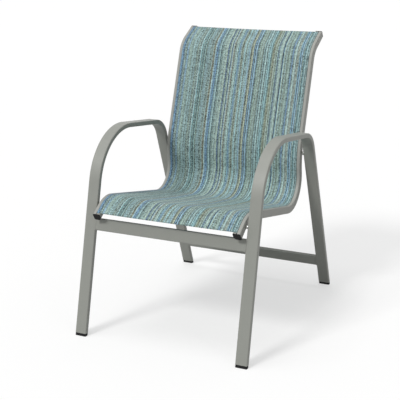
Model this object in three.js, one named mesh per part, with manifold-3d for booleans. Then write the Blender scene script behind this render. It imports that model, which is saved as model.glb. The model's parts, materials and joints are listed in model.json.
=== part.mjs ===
// A stacking armchair for patio and porch, with a sling seat stretched between two slotted rails.
// Millimetres, +Z up. The chair faces -Y and stands on z = 0. Left and right are those of someone who
// looks at its front, so left is at -X.
import * as THREE from 'three';
import { mergeVertices } from 'three/addons/utils/BufferGeometryUtils.js';
import Module from 'manifold-3d';

const wasm = await Module();
wasm.setup();

// Flat tube that the side frames and cross rails are made of. Its wide face looks forward on the legs.
const tubeWidth = 40;
const tubeDepth = 16;
const tubeWall = 2;
const tubeCorner = 3.5;

// Side frame, seen from the side: front leg, arm and rear leg are one bent tube. Angles are in degrees.
const frameSpacing = 570;
const frontLegLean = 12.3;
const frontLegLength = 510;
const armFrontRadius = 191;
const armSlope = 6.8;
const armLength = 190;
const armRearRadius = 85;
const rearLegRake = 21.3;

// Cross rails: how far the front one's middle is below the front bolts, and the rear one's above the floor
const frontRailDrop = 55.6;
const rearRailHeight = 103;

// Sling rails: their gap to the side frames, then seen from the side, from the front end to the top end
const railGap = 7.5;
const railStartSetback = 51.7;
const railStartHeight = 395;
const railStartSlope = 35.5;
const railNoseLength = 40;
const railNoseRadius = 90;
const seatSlope = 11.3;
const seatLength = 320;
const seatBackRadius = 95;
const lowerBackSlope = 97.5;
const lumbarRadius = 247;
const upperBackSlope = 71.6;
const backLength = 287;
const headRadius = 80;
const headSlope = 29.6;
const headLength = 67;

// Section of a sling rail
const railWidth = 25;
const railDepth = 26;
const railWall = 2;
const railOuterCorner = 3.5;
const railInnerCorner = 2.5;
const railFootCorner = 4;
const railBellyRadius = 12;
const channelLip = 2.2;
const channelFloor = 1.2;
const channelClearance = 0.7;

// Cloth and the welt rods in its side hems
const clothThickness = 1;
const weltRadius = 2.4;
const clothClearance = 0.3;
const clothFrontSetback = 6;
const clothTopSetback = 4;
const sagDepth = 20;

// Fit between rigid pieces that seat on each other, and the overrun of a cutting body
const seatGap = 0.3;
const cutOverrun = 5;

// Black caps on the ends of the sling rails
const capThickness = 2.5;
const capPlugLength = 12;

// Foot glides
const soleHeight = 9;
const soleInset = 0.4;
const solePlugLength = 25;

// Bolts that hold the sling rails to the legs, with their spacers and the threaded inserts in the legs
const boltDrop = 4.8;
const boltRadius = 3;
const boltHeadRadius = 5;
const boltHeadHeight = 3;
const boltChamfer = 0.6;
const boltSocketRadius = 2;
const boltSocketDepth = 1.8;
const boltReach = 21;
const boltClearance = 0.3;
const accessHoleRadius = 6.5;
const spacerRadius = 6;
const insertRadius = 4;
const insertFlangeRadius = 5.5;
const insertFlangeThickness = 0.8;
const insertLength = 13;

// Spreader bars between the rails, under the seat and behind the back, and their end plugs
const barWidth = 25;
const barDepth = 11;
const barWall = 1.5;
const barDrop = 5;
const barEndRun = 35;
const barBendRadius = 80;
const barSlope = 15;
const barSlopeRun = 78;
const barShoulder = 4;
const barPlugLength = 18;
const barPinRadius = 3;
const barPinReach = 6;
const seatBarShare = 0.55;
const backBarShare = 0.62;

// Facets, and the distance and angle within which two points or two headings are the same
const roundSteps = 16;
const weltSides = 6;
const socketSides = 6;
const cornerSteps = 3;
const nearSteps = 2;
const pocketSteps = 5;
const samePlace = 1e-4;
const sameHeading = 1e-6;

// Depth of the cloth's sag along the sling, as (share of the sling's length, share of sagDepth)
const sagAlongShares = [
  [0, 0.08], [0.07, 0.45], [0.24, 0.45], [0.4, 0.15], [0.48, 0.72], [0.59, 1], [0.7, 0.8],
  [0.89, 0.82], [0.955, 0.3], [1, 0.08],
];
// Places across the sling where its surface has a row of points, as shares of half its free width
const acrossShares = [-1, -0.66, -0.33, 0, 0.33, 0.66, 1];

const radians = THREE.MathUtils.degToRad;
const quarterTurn = Math.PI / 2;

// Paints and plastics
function finish(color, roughness, metalness) {
  return () => new THREE.MeshStandardMaterial({ color, roughness, metalness });
}
const framePaint = finish(0x92958e, 0.5, 0.35);
const railPaint = finish(0x9e9992, 0.5, 0.35);
const blackPlastic = finish(0x1b1c1d, 0.6, 0);
const greyNylon = finish(0xa8aaa5, 0.55, 0);
const brightSteel = finish(0xb6b8b8, 0.3, 0.95);
const slingCloth = finish(0x7d9ea0, 0.85, 0);
const weltPlastic = finish(0xd8d8d2, 0.6, 0);

// Lines in the side view. A station is a place (y, z) with the heading of travel, from +Y towards +Z.
function direction(heading) {
  return new THREE.Vector2(Math.cos(heading), Math.sin(heading));
}

function upward(heading) {
  return new THREE.Vector2(-Math.sin(heading), Math.cos(heading));
}

function bentLine(start, headingDegrees, moves) {
  let place = start.clone();
  let heading = radians(headingDegrees);
  const stations = [{ place, heading }];
  for (const move of moves) {
    const from = place;
    if (move.run !== undefined) {
      for (let step = 1; step <= move.steps; step += 1) {
        place = from.clone().addScaledVector(direction(heading), move.run * step / move.steps);
        stations.push({ place, heading });
      }
    } else {
      const first = heading;
      const turn = radians(move.to) - first;
      const side = Math.sign(turn) * move.radius;
      const centre = from.clone().addScaledVector(upward(first), side);
      for (let step = 1; step <= move.steps; step += 1) {
        heading = first + turn * step / move.steps;
        place = centre.clone().addScaledVector(upward(heading), -side);
        stations.push({ place, heading });
      }
    }
  }
  return stations;
}

function slid(station, distance) {
  const place = station.place.clone().addScaledVector(direction(station.heading), distance);
  return { place, heading: station.heading };
}

function raised(station, distance) {
  const place = station.place.clone().addScaledVector(upward(station.heading), distance);
  return { place, heading: station.heading };
}

// The first station of a line that has a heading, where a straight run of that heading starts
function firstHeaded(line, headingDegrees) {
  const heading = radians(headingDegrees);
  return line.find((station) => Math.abs(station.heading - heading) < sameHeading);
}

// Where two lines of stations cross in the side view, or where they come nearest
function crossing(lineA, lineB) {
  let nearest = { gap: Infinity, place: null };
  for (let a = 1; a < lineA.length; a += 1) {
    for (let b = 1; b < lineB.length; b += 1) {
      const startA = lineA[a - 1].place;
      const startB = lineB[b - 1].place;
      const alongA = lineA[a].place.clone().sub(startA);
      const alongB = lineB[b].place.clone().sub(startB);
      const apart = startB.clone().sub(startA);
      const spread = alongA.cross(alongB);
      const shareA = THREE.MathUtils.clamp(apart.cross(alongB) / spread, 0, 1);
      const shareB = THREE.MathUtils.clamp(apart.cross(alongA) / spread, 0, 1);
      const placeA = startA.clone().addScaledVector(alongA, shareA);
      const placeB = startB.clone().addScaledVector(alongB, shareB);
      const gap = placeA.distanceTo(placeB);
      if (gap < nearest.gap) {
        nearest = { gap, place: placeA };
      }
    }
  }
  return nearest.place;
}

// A curve through stations for ExtrudeGeometry, with one extrusion step for each station.
// The section's x points to -X, which is outward on the left side, and its y to the line's upper side.
class StationCurve extends THREE.Curve {
  constructor(stations) {
    super();
    this.stations = stations;
  }

  stationAt(share) {
    return this.stations[Math.round(share * (this.stations.length - 1))];
  }

  getPointAt(share) {
    const { place } = this.stationAt(share);
    return new THREE.Vector3(0, place.x, place.y);
  }

  getTangentAt(share) {
    const { heading } = this.stationAt(share);
    return new THREE.Vector3(0, Math.cos(heading), Math.sin(heading));
  }

  computeFrenetFrames(steps) {
    const tangents = [];
    const normals = [];
    const binormals = [];
    for (let step = 0; step <= steps; step += 1) {
      const tangent = this.getTangentAt(step / steps);
      const normal = new THREE.Vector3(-1, 0, 0);
      tangents.push(tangent);
      normals.push(normal);
      binormals.push(new THREE.Vector3().crossVectors(tangent, normal));
    }
    return { tangents, normals, binormals };
  }
}

function swept(shape, stations) {
  const extrudePath = new StationCurve(stations);
  return new THREE.ExtrudeGeometry(shape, { steps: stations.length - 1, extrudePath });
}

// Solids: a closed geometry becomes a manifold for cutting and joining, and comes back as a geometry
function solid(geometry) {
  const bare = geometry.clone();
  bare.deleteAttribute('normal');
  bare.deleteAttribute('uv');
  const merged = mergeVertices(bare, samePlace);
  const vertProperties = new Float32Array(merged.attributes.position.array);
  const triVerts = new Uint32Array(merged.index.array);
  return new wasm.Manifold(new wasm.Mesh({ numProp: 3, vertProperties, triVerts }));
}

function shell(manifold) {
  const mesh = manifold.getMesh();
  const geometry = new THREE.BufferGeometry();
  geometry.setAttribute('position', new THREE.BufferAttribute(new Float32Array(mesh.vertProperties), 3));
  geometry.setIndex(new THREE.BufferAttribute(new Uint32Array(mesh.triVerts), 1));
  geometry.computeVertexNormals();
  return geometry;
}

function mirrored(geometry) {
  const copy = geometry.index ? geometry.toNonIndexed() : geometry.clone();
  copy.scale(-1, 1, 1);
  const positions = copy.attributes.position;
  const first = new THREE.Vector3();
  const last = new THREE.Vector3();
  for (let corner = 0; corner < positions.count; corner += 3) {
    first.fromBufferAttribute(positions, corner);
    last.fromBufferAttribute(positions, corner + 2);
    positions.setXYZ(corner, last.x, last.y, last.z);
    positions.setXYZ(corner + 2, first.x, first.y, first.z);
  }
  copy.computeVertexNormals();
  return copy;
}

// A round rod on the chair's left side that lies across it, between two distances from the chair's middle
function crossRod(radius, from, to, place) {
  const rod = new THREE.CylinderGeometry(radius, radius, to - from, roundSteps);
  rod.rotateZ(quarterTurn);
  rod.translate(-(from + to) / 2, place.x, place.y);
  return rod;
}

// Outlines
function arcPoints(centreX, centreY, radius, from, to, steps) {
  const points = [];
  for (let step = 0; step <= steps; step += 1) {
    const angle = radians(from + (to - from) * step / steps);
    points.push(new THREE.Vector2(centreX + radius * Math.cos(angle), centreY + radius * Math.sin(angle)));
  }
  return points;
}

function ringPoints(centreX, centreY, radius, sides) {
  return arcPoints(centreX, centreY, radius, 0, 360 - 360 / sides, sides - 1);
}

function roundedOutline(width, depth, corner, steps) {
  const x = width / 2 - corner;
  const y = depth / 2 - corner;
  return [
    ...arcPoints(x, y, corner, 0, 90, steps),
    ...arcPoints(-x, y, corner, 90, 180, steps),
    ...arcPoints(-x, -y, corner, 180, 270, steps),
    ...arcPoints(x, -y, corner, 270, 360, steps),
  ];
}

// A shape runs anticlockwise, and so do its holes before the extrusion turns one of the two round
function outlined(outline, hole) {
  const anticlockwise = (points) => (THREE.ShapeUtils.isClockWise(points) ? points.reverse() : points);
  const shape = new THREE.Shape(anticlockwise(outline));
  if (hole) {
    shape.holes.push(new THREE.Path(anticlockwise(hole)));
  }
  return shape;
}

function tubeShape(width, depth, wall, corner, innerSteps) {
  const inner = roundedOutline(width - 2 * wall, depth - 2 * wall, corner - wall, innerSteps);
  return outlined(roundedOutline(width, depth, corner, cornerSteps), inner);
}

// The sling rail's section: flat top with the slot in its middle, flat outer side, round belly on the
// inner side. The section's x points outward and its y away from the sling's underside.
const pocketRadius = weltRadius + clothClearance + clothThickness;
const channelRadius = pocketRadius + channelClearance;
const slotHalf = clothThickness + clothClearance;
const channelHeight = railDepth / 2 - channelLip - channelRadius;
const chamberTop = channelHeight - channelRadius - channelFloor;

function railSideOutline(grow) {
  const x = railWidth / 2 + grow;
  const y = railDepth / 2 + grow;
  const outer = railOuterCorner + grow;
  const foot = railFootCorner + grow;
  const belly = railBellyRadius + grow;
  const inner = railInnerCorner + grow;
  return [
    ...arcPoints(x - outer, y - outer, outer, 90, 0, cornerSteps),
    ...arcPoints(x - foot, -y + foot, foot, 0, -90, nearSteps),
    ...arcPoints(-x + belly, -y + belly, belly, -90, -180, 2 * nearSteps),
    ...arcPoints(-x + inner, y - inner, inner, 180, 90, nearSteps),
  ];
}

function chamberOutline(shrink) {
  const x = railWidth / 2 - railWall - shrink;
  const y = railDepth / 2 - railWall - shrink;
  const foot = railFootCorner - railWall;
  const belly = railBellyRadius - railWall;
  const top = chamberTop - shrink;
  return [
    new THREE.Vector2(x, top),
    ...arcPoints(x - foot, -y + foot, foot, 0, -90, nearSteps),
    ...arcPoints(-x + belly, -y + belly, belly, -90, -180, 2 * nearSteps),
    new THREE.Vector2(-x, top),
  ];
}

function railShape() {
  const mouth = THREE.MathUtils.radToDeg(Math.acos(slotHalf / channelRadius));
  const outline = [
    new THREE.Vector2(slotHalf, railDepth / 2),
    ...railSideOutline(0),
    new THREE.Vector2(-slotHalf, railDepth / 2),
    ...arcPoints(0, channelHeight, channelRadius, 180 - mouth, 360 + mouth, 2 * cornerSteps + 1),
  ];
  return outlined(outline, chamberOutline(0));
}

// The side view's lines
const tubeHalf = tubeDepth / 2;
const frontHeading = 90 - frontLegLean;
const rearHeading = rearLegRake - 90;
const floorPoint = new THREE.Vector2(0, 0);
const frontFoot = slid({ place: floorPoint, heading: radians(frontHeading) }, -tubeDepth);

function sideFrameLine() {
  const bent = bentLine(frontFoot.place, frontHeading, [
    { run: frontLegLength + tubeDepth, steps: 1 },
    { radius: armFrontRadius, to: -armSlope, steps: 14 },
    { run: armLength, steps: 1 },
    { radius: armRearRadius, to: rearHeading, steps: 10 },
  ]);
  const last = bent[bent.length - 1];
  const toFloor = -last.place.y / Math.sin(last.heading);
  return [...bent, slid(last, toFloor + tubeDepth)];
}

const frameLine = sideFrameLine();
const frontLeg = frameLine.slice(0, 2);
const rearLeg = frameLine.slice(-2);
const rearFloor = slid(rearLeg[1], -tubeDepth);

const railLine = bentLine(new THREE.Vector2(railStartSetback, railStartHeight), railStartSlope, [
  { run: railNoseLength, steps: 1 },
  { radius: railNoseRadius, to: -seatSlope, steps: 5 },
  { run: seatLength, steps: 3 },
  { radius: seatBackRadius, to: lowerBackSlope, steps: 9 },
  { radius: lumbarRadius, to: upperBackSlope, steps: 3 },
  { run: backLength, steps: 2 },
  { radius: headRadius, to: headSlope, steps: 4 },
  { run: headLength, steps: 1 },
]);
const railFront = railLine[0];
const railTop = railLine[railLine.length - 1];
const seatStart = firstHeaded(railLine, -seatSlope);
const backStart = firstHeaded(railLine, upperBackSlope);

// The bolts go through the leg's middle and the rail's hollow chamber, under the welt channel
const boltLine = railLine.map((station) => raised(station, -boltDrop));
const frontBolt = crossing(frontLeg, boltLine);
const rearBolt = crossing(rearLeg, boltLine);
const bolts = [['front', frontBolt], ['rear', rearBolt]];

// Places across the chair, measured outward from its middle
const frameCentre = frameSpacing / 2;
const frameInside = frameCentre - tubeWidth / 2;
const railCentre = frameInside - railGap - railWidth / 2;
const railInside = railCentre - railWidth / 2;
const railOutside = railCentre + railWidth / 2;
const boltSeat = railOutside - railWall;

// Spreader bars' end holes
const barStations = [
  ['seat', raised(slid(seatStart, seatLength * seatBarShare), -barDrop)],
  ['back', raised(slid(backStart, backLength * backBarShare), -barDrop)],
];

function footCutter(floorPlace, from, to) {
  const block = new THREE.BoxGeometry(2 * tubeWidth, 2 * tubeWidth, to - from);
  block.translate(-frameCentre, floorPlace.x, (from + to) / 2);
  return solid(block);
}

function sideFrame() {
  const tube = swept(tubeShape(tubeWidth, tubeDepth, tubeWall, tubeCorner, 1), frameLine);
  tube.translate(-frameCentre, 0, 0);
  let body = solid(tube);
  for (const foot of [floorPoint, rearFloor.place]) {
    body = body.subtract(footCutter(foot, -2 * tubeWidth, soleHeight));
  }
  for (const [, place] of bolts) {
    const bore = insertRadius + boltClearance;
    const hole = crossRod(bore, frameInside - cutOverrun, frameInside + cutOverrun, place);
    body = body.subtract(solid(hole));
  }
  return shell(body);
}

function glide(floorStation) {
  const width = tubeWidth - 2 * soleInset;
  const depth = tubeDepth - 2 * soleInset;
  const sole = outlined(roundedOutline(width, depth, tubeCorner, cornerSteps));
  const inset = tubeWall + seatGap;
  const plugCorner = tubeCorner - tubeWall;
  const plug = outlined(roundedOutline(tubeWidth - 2 * inset, tubeDepth - 2 * inset, plugCorner, 1));
  const low = slid(floorStation, -tubeDepth);
  const high = slid(floorStation, solePlugLength);
  const soleBody = swept(sole, [low, high]);
  const plugBody = swept(plug, [low, high]);
  soleBody.translate(-frameCentre, 0, 0);
  plugBody.translate(-frameCentre, 0, 0);
  const flat = solid(soleBody).intersect(footCutter(floorStation.place, 0, soleHeight - seatGap));
  const stem = solid(plugBody).subtract(footCutter(floorStation.place, -2 * tubeWidth, soleHeight / 2));
  return shell(flat.add(stem));
}

function crossRail() {
  const length = 2 * (frameInside - seatGap);
  const shape = tubeShape(tubeWidth, tubeDepth, tubeWall, tubeCorner, 1);
  const tube = new THREE.ExtrudeGeometry(shape, { depth: length, bevelEnabled: false });
  tube.translate(0, 0, -length / 2);
  tube.rotateY(quarterTurn);
  return tube;
}

function slingRail() {
  const bar = swept(railShape(), railLine);
  bar.translate(-railCentre, 0, 0);
  let body = solid(bar);
  for (const [, place] of bolts) {
    const shankHole = crossRod(boltRadius + boltClearance, railCentre, railOutside + cutOverrun, place);
    const accessHole = crossRod(accessHoleRadius, railInside - cutOverrun, railCentre, place);
    body = body.subtract(solid(shankHole)).subtract(solid(accessHole));
  }
  for (const [, station] of barStations) {
    const bore = barPinRadius + boltClearance;
    const pinHole = crossRod(bore, railInside - cutOverrun, railCentre, station.place);
    body = body.subtract(solid(pinHole));
  }
  return shell(body);
}

function railCap(endStation, outward) {
  const plate = outlined(railSideOutline(0));
  const plug = outlined(chamberOutline(clothClearance));
  const inner = slid(endStation, outward * seatGap);
  const outer = slid(inner, outward * capThickness);
  const deep = slid(endStation, -outward * capPlugLength);
  const order = (near, far) => (outward > 0 ? [near, far] : [far, near]);
  const plateBody = swept(plate, order(inner, outer));
  const plugBody = swept(plug, order(deep, slid(inner, outward * capThickness / 2)));
  plateBody.translate(-railCentre, 0, 0);
  plugBody.translate(-railCentre, 0, 0);
  return shell(solid(plateBody).add(solid(plugBody)));
}

// The cloth and welts lie along the rail's line, a little short of its ends
function clothLine() {
  const inner = railLine.slice(1, -1);
  return [slid(railFront, clothFrontSetback), ...inner, slid(railTop, -clothTopSetback)];
}

const clothStations = clothLine();

function weltRod() {
  const shape = outlined(ringPoints(0, channelHeight, weltRadius, weltSides));
  const rod = swept(shape, clothStations);
  rod.translate(-railCentre, 0, 0);
  return rod;
}

function sagAt(share) {
  let next = 1;
  while (sagAlongShares[next][0] < share && next < sagAlongShares.length - 1) {
    next += 1;
  }
  const [fromShare, fromDepth] = sagAlongShares[next - 1];
  const [toShare, toDepth] = sagAlongShares[next];
  const blend = THREE.MathUtils.smoothstep(share, fromShare, toShare);
  return sagDepth * THREE.MathUtils.lerp(fromDepth, toDepth, blend);
}

// Shares of the line's length that its stations have passed
function lengthShares(stations) {
  const passed = [0];
  for (let index = 1; index < stations.length; index += 1) {
    const step = stations[index].place.distanceTo(stations[index - 1].place);
    passed.push(passed[index - 1] + step);
  }
  const total = passed[passed.length - 1];
  return passed.map((length) => length / total);
}

// The cloth's section: the panel between the slots, and on each side a neck of two layers that goes
// down the slot to the pocket round the welt rod
function clothSection() {
  const underside = railDepth / 2 + clothClearance;
  const topside = underside + clothThickness;
  const mouth = THREE.MathUtils.radToDeg(Math.acos(clothThickness / pocketRadius));
  const pocket = (side) => arcPoints(
    side * railCentre, channelHeight, pocketRadius, 180 - mouth, 360 + mouth, pocketSteps,
  );
  const row = (height) => acrossShares.map((share) => new THREE.Vector2(share * railInside, height));
  const edge = railCentre + clothThickness;
  const neck = railCentre - clothThickness;
  const contour = [
    ...row(underside),
    new THREE.Vector2(neck, underside),
    ...pocket(1),
    new THREE.Vector2(edge, topside),
    ...row(topside).reverse(),
    new THREE.Vector2(-edge, topside),
    ...pocket(-1),
    new THREE.Vector2(-neck, underside),
  ];
  const hole = (side) => ringPoints(
    side * railCentre, channelHeight, weltRadius + clothClearance, weltSides,
  ).reverse();
  return { contour, holes: [hole(1), hole(-1)] };
}

// A loft of the cloth's section along its stations, sagging between the rails
function slingPanel() {
  const { contour, holes } = clothSection();
  const loops = [contour, ...holes];
  const shares = lengthShares(clothStations);
  const perStation = loops.flat().length;
  const vertices = [];
  clothStations.forEach((station, index) => {
    const sag = sagAt(shares[index]);
    for (const point of loops.flat()) {
      const across = Math.min(Math.abs(point.x) / railInside, 1);
      const place = raised(station, point.y - sag * (1 - across * across)).place;
      vertices.push(point.x, place.x, place.y);
    }
  });
  const faces = [];
  for (let index = 1; index < clothStations.length; index += 1) {
    let start = 0;
    for (const loop of loops) {
      for (let corner = 0; corner < loop.length; corner += 1) {
        const following = (corner + 1) % loop.length;
        const nearA = (index - 1) * perStation + start + corner;
        const nearB = (index - 1) * perStation + start + following;
        const farA = nearA + perStation;
        const farB = nearB + perStation;
        faces.push(nearA, farA, farB, nearA, farB, nearB);
      }
      start += loop.length;
    }
  }
  const last = (clothStations.length - 1) * perStation;
  for (const [a, b, c] of THREE.ShapeUtils.triangulateShape(contour, holes)) {
    faces.push(a, b, c, last + c, last + b, last + a);
  }
  const panel = new THREE.BufferGeometry();
  panel.setAttribute('position', new THREE.Float32BufferAttribute(vertices, 3));
  panel.setIndex(faces);
  panel.computeVertexNormals();
  return panel;
}

// A spreader bar is drawn in the side view as a line that dips in its middle, then laid across the chair
const barHalf = railInside - barShoulder;

function spreaderBar() {
  const slope = radians(barSlope);
  const bendReach = barBendRadius * Math.sin(slope);
  const slopeReach = barSlopeRun * Math.cos(slope);
  const middleRun = 2 * (barHalf - barEndRun - 2 * bendReach - slopeReach);
  const line = bentLine(new THREE.Vector2(-barHalf, 0), 0, [
    { run: barEndRun, steps: 1 },
    { radius: barBendRadius, to: -barSlope, steps: 2 },
    { run: barSlopeRun, steps: 1 },
    { radius: barBendRadius, to: 0, steps: 2 },
    { run: middleRun, steps: 1 },
    { radius: barBendRadius, to: barSlope, steps: 2 },
    { run: barSlopeRun, steps: 1 },
    { radius: barBendRadius, to: 0, steps: 2 },
    { run: barEndRun, steps: 1 },
  ]);
  const bar = swept(tubeShape(barWidth, barDepth, barWall, barDepth / 2, nearSteps), line);
  bar.rotateZ(quarterTurn);
  return bar;
}

// An end plug has a stem inside the bar, a shoulder that is coped to the rail's belly and a pin in it
function spreaderPlug(station) {
  const inset = barWall + seatGap;
  const shoulder = new THREE.ExtrudeGeometry(
    outlined(roundedOutline(barWidth, barDepth, barDepth / 2, cornerSteps)),
    { depth: barShoulder - seatGap + railWidth / 2, bevelEnabled: false },
  );
  const stem = new THREE.ExtrudeGeometry(
    outlined(roundedOutline(barWidth - 2 * inset, barDepth - 2 * inset, barDepth / 2 - inset, nearSteps)),
    { depth: barPlugLength + seatGap, bevelEnabled: false },
  );
  stem.translate(0, 0, -barPlugLength);
  shoulder.translate(0, 0, seatGap);
  const pieces = [stem, shoulder];
  for (const piece of pieces) {
    piece.rotateY(-quarterTurn);
    piece.rotateX(quarterTurn + station.heading);
    piece.translate(-barHalf, station.place.x, station.place.y);
  }
  const grownRail = swept(outlined(railSideOutline(seatGap)), railLine);
  grownRail.translate(-railCentre, 0, 0);
  const coped = solid(shoulder).subtract(solid(grownRail));
  const pin = crossRod(barPinRadius, barHalf + seatGap, railInside + barPinReach, station.place);
  return shell(coped.add(solid(stem)).add(solid(pin)));
}

// Fasteners are turned about their own axis, which points outward from the chair
function turned(profile) {
  const points = profile.map(([radius, height]) => new THREE.Vector2(radius, height));
  return new THREE.LatheGeometry(points, roundSteps);
}

function railBolt() {
  const crown = -seatGap - boltHeadHeight;
  const body = turned([
    [0, crown],
    [boltHeadRadius - boltChamfer, crown],
    [boltHeadRadius, crown + boltChamfer],
    [boltHeadRadius, -seatGap],
    [boltRadius, -seatGap],
    [boltRadius, boltReach - boltChamfer],
    [boltRadius - boltChamfer, boltReach],
    [0, boltReach],
  ]);
  const socketLength = 2 * boltSocketDepth;
  const socket = new THREE.CylinderGeometry(boltSocketRadius, boltSocketRadius, socketLength, socketSides);
  socket.translate(0, crown, 0);
  return shell(solid(body).subtract(solid(socket)));
}

function railSpacer() {
  const from = railWall + seatGap;
  const to = frameInside - boltSeat - insertFlangeThickness - 2 * seatGap;
  const bore = boltRadius + boltClearance;
  return turned([[bore, from], [spacerRadius, from], [spacerRadius, to], [bore, to], [bore, from]]);
}

function legInsert() {
  const face = frameInside - boltSeat;
  const flangeBack = face - seatGap - insertFlangeThickness;
  const bore = boltRadius + boltClearance;
  return turned([
    [bore, flangeBack],
    [insertFlangeRadius, flangeBack],
    [insertFlangeRadius, face - seatGap],
    [insertRadius, face - seatGap],
    [insertRadius, face + insertLength],
    [bore, face + insertLength],
    [bore, flangeBack],
  ]);
}

// Putting the chair together
const chair = new THREE.Group();

// The middle of the footprint stands on the origin
const soleHalf = tubeHalf - soleInset;
const footFront = -soleHalf / Math.cos(radians(frontLegLean));
const footBack = rearFloor.place.x + soleHalf / Math.cos(radians(rearLegRake));
chair.position.y = -(footFront + footBack) / 2;

function addMesh(name, geometry, material) {
  const mesh = new THREE.Mesh(geometry, material());
  mesh.name = name;
  chair.add(mesh);
  return mesh;
}

function addPair(name, geometry, material) {
  addMesh(`left_${name}`, geometry, material);
  addMesh(`right_${name}`, mirrored(geometry), material);
}

function addCrossRail(name, height, headingDegrees, floorPlace) {
  const heading = radians(headingDegrees);
  const mesh = addMesh(name, crossRail(), framePaint);
  const setback = height / Math.tan(heading);
  mesh.position.set(0, floorPlace.x + setback, height);
  mesh.rotation.x = heading - quarterTurn;
}

function addFasteners(name, geometry, material) {
  for (const [side, outward] of [['left', -1], ['right', 1]]) {
    for (const [end, place] of bolts) {
      const mesh = addMesh(`${side}_${end}_${name}`, geometry.clone(), material);
      mesh.position.set(outward * boltSeat, place.x, place.y);
      mesh.rotation.z = -outward * quarterTurn;
    }
  }
}

addPair('side_frame', sideFrame(), framePaint);
addCrossRail('front_cross_rail', frontBolt.y - frontRailDrop, frontHeading, floorPoint);
addCrossRail('rear_cross_rail', rearRailHeight, rearHeading + 180, rearFloor.place);
addPair('sling_rail', slingRail(), railPaint);
addMesh('sling_cloth', slingPanel(), slingCloth);
addPair('welt_rod', weltRod(), weltPlastic);
addPair('rail_front_cap', railCap(railFront, -1), blackPlastic);
addPair('rail_top_cap', railCap(railTop, 1), blackPlastic);
addPair('front_glide', glide({ place: floorPoint, heading: radians(frontHeading) }), blackPlastic);
addPair('rear_glide', glide({ place: rearFloor.place, heading: radians(rearHeading + 180) }), blackPlastic);
for (const [name, station] of barStations) {
  const bar = addMesh(`${name}_spreader_bar`, spreaderBar(), framePaint);
  bar.position.set(0, station.place.x, station.place.y);
  bar.rotation.x = station.heading;
  addPair(`${name}_spreader_plug`, spreaderPlug(station), blackPlastic);
}
addFasteners('rail_bolt', railBolt(), brightSteel);
addFasteners('rail_spacer', railSpacer(), greyNylon);
addFasteners('leg_insert', legInsert(), brightSteel);

export default chair;
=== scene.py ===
import json
import math

import bmesh
import bpy
from mathutils import Matrix, Vector
from mathutils.geometry import tessellate_polygon


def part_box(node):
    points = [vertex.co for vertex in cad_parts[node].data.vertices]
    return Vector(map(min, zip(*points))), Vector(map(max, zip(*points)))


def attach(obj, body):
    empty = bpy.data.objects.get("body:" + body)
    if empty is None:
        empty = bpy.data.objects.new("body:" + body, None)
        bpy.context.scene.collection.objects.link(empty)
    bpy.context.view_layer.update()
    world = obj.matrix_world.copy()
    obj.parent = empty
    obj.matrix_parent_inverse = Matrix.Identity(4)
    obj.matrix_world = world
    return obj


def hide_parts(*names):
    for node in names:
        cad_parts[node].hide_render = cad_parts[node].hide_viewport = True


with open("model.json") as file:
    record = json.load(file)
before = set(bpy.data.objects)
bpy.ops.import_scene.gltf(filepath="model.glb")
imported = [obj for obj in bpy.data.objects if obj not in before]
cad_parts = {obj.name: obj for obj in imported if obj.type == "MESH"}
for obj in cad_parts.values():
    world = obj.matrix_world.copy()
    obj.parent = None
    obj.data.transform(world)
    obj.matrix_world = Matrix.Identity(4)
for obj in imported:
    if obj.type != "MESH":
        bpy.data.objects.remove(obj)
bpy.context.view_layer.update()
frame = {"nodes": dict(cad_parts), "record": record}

# A patio armchair with a striped sling. Metres, +Z up. It faces -Y, and left is at -X.
# Widths and depths of the tubes, rails and bars are those of the solids. Angles are in degrees.

MILLIMETRE = 0.001
SIDES = ((-1, "left"), (1, "right"))

# Flat tube of the side frames and cross rails
TUBE_WIDTH = 0.040
TUBE_DEPTH = 0.016
TUBE_WALL = 0.002
TUBE_CORNER = 0.0035

# Side frames, seen from the side: front leg, arm and rear leg are one bent tube
FRAME_CENTRE = 0.285
LEG_INSIDE = FRAME_CENTRE - TUBE_WIDTH / 2
FRONT_FOOT = -0.39938
FRONT_LEG_LEAN = 12.3
FRONT_LEG_LENGTH = 0.510
REAR_LEG_RAKE = 21.3
ARM_MOVES = (("bend", 0.191, -6.8), ("run", 0.190), ("bend", 0.085, REAR_LEG_RAKE - 90))
SOLE_HEIGHT = 0.009

# Sling rails: their section, then their line from the front end to the top end
RAIL_CENTRE = 0.245
RAIL_WIDTH = 0.025
RAIL_DEPTH = 0.026
RAIL_WALL = 0.002
RAIL_INSIDE = RAIL_CENTRE - RAIL_WIDTH / 2
RAIL_OUTER_CORNER = 0.0035
RAIL_INNER_CORNER = 0.0025
RAIL_FOOT_CORNER = 0.004
RAIL_BELLY_RADIUS = 0.012
RAIL_LIP_CORNER = 0.0004
RAIL_START = (-0.34768, 0.395)
RAIL_START_SLOPE = 35.5
RAIL_MOVES = (
    ("run", 0.040), ("bend", 0.090, -11.3), ("run", 0.320), ("bend", 0.095, 97.5),
    ("bend", 0.247, 71.6), ("run", 0.287), ("bend", 0.080, 29.6), ("run", 0.067),
)
CHANNEL_HEIGHT = 0.0064
CHANNEL_RADIUS = 0.0044
CHANNEL_FLOOR = 0.0012

# Facets: distance between stations, and steps round the corners of a section
BEND_STEP = 0.003
RUN_STEP = 0.08
LEAST_BEND_STEPS = 3
CORNER_STEPS = 6
BELLY_STEPS = 14
INNER_CORNER_STEPS = 5
LIP_STEPS = 3
CHANNEL_STEPS = 16
CHAMBER_CORNER_STEPS = 4
CHAMBER_BELLY_STEPS = 10
EDGE_ANGLE = 35

# Round holes for the bolts, the spreader bars' pins and the threaded inserts
BOLT_HOLE_RADIUS = 0.0033
ACCESS_HOLE_RADIUS = 0.0065
PIN_HOLE_RADIUS = 0.0033
INSERT_HOLE_RADIUS = 0.0043
HOLE_OVERRUN = 0.005
HOLE_STOP = 0.002
HOLE_SIDES = 32

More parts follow.
